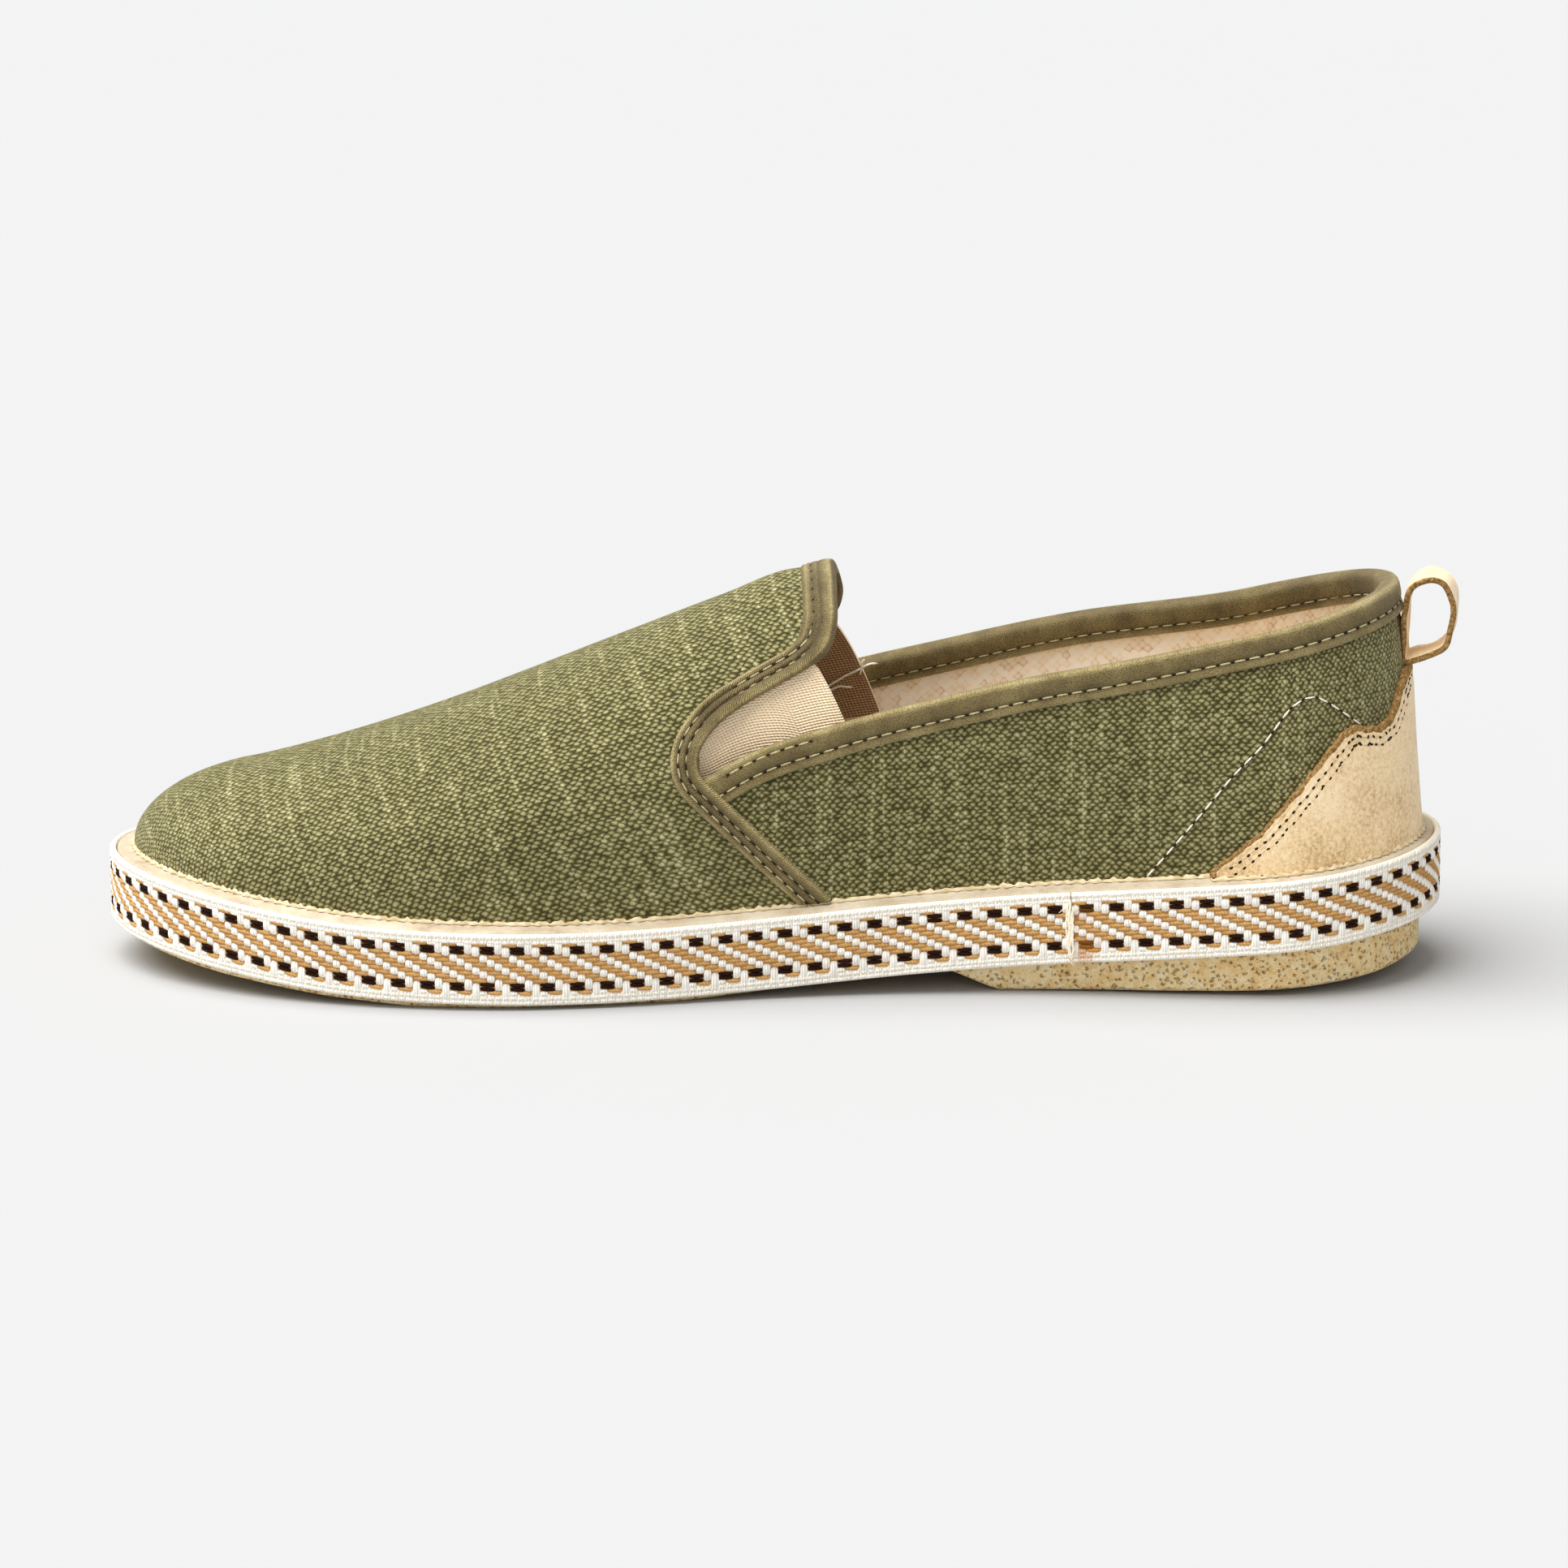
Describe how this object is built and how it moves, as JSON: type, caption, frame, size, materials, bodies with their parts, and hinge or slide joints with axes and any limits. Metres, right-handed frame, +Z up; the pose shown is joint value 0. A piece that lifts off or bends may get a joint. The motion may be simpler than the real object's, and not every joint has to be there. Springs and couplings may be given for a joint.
{
  "type": "canvas slip-on shoe",
  "caption": "Right slip-on canvas shoe with a tab, elastic gores, suede heel counter, pull loop, woven tape round the midsole and a crepe rubber outsole.",
  "frame": {"origin": "middle of the shoe's box, on the floor that the outsole stands on", "axes": "+X to the toe, +Y to the inner side, +Z up"},
  "size_m": [0.292, 0.103, 0.088],
  "materials": {
    "crepe": "matte, pitted",
    "midsole_rubber": "smooth matte",
    "woven_tape": "woven, white, tan and dark brown",
    "footbed": "woven lining",
    "canvas": "plain weave with slubs",
    "twill": "fine twill",
    "elastic": "ribbed",
    "suede": "napped",
    "loop_leather": "napped, brown cut edge"
  },
  "bodies": {
    "root": {"outsole": "crepe", "midsole": "midsole_rubber", "foxing_tape": "woven_tape", "insole": "footbed", "upper": "canvas", "vamp_binding": "twill", "collar_binding": "twill", "gore_inner": "elastic", "gore_outer": "elastic", "heel_counter": "suede", "pull_loop": "loop_leather"}
  },
  "joints": []
}
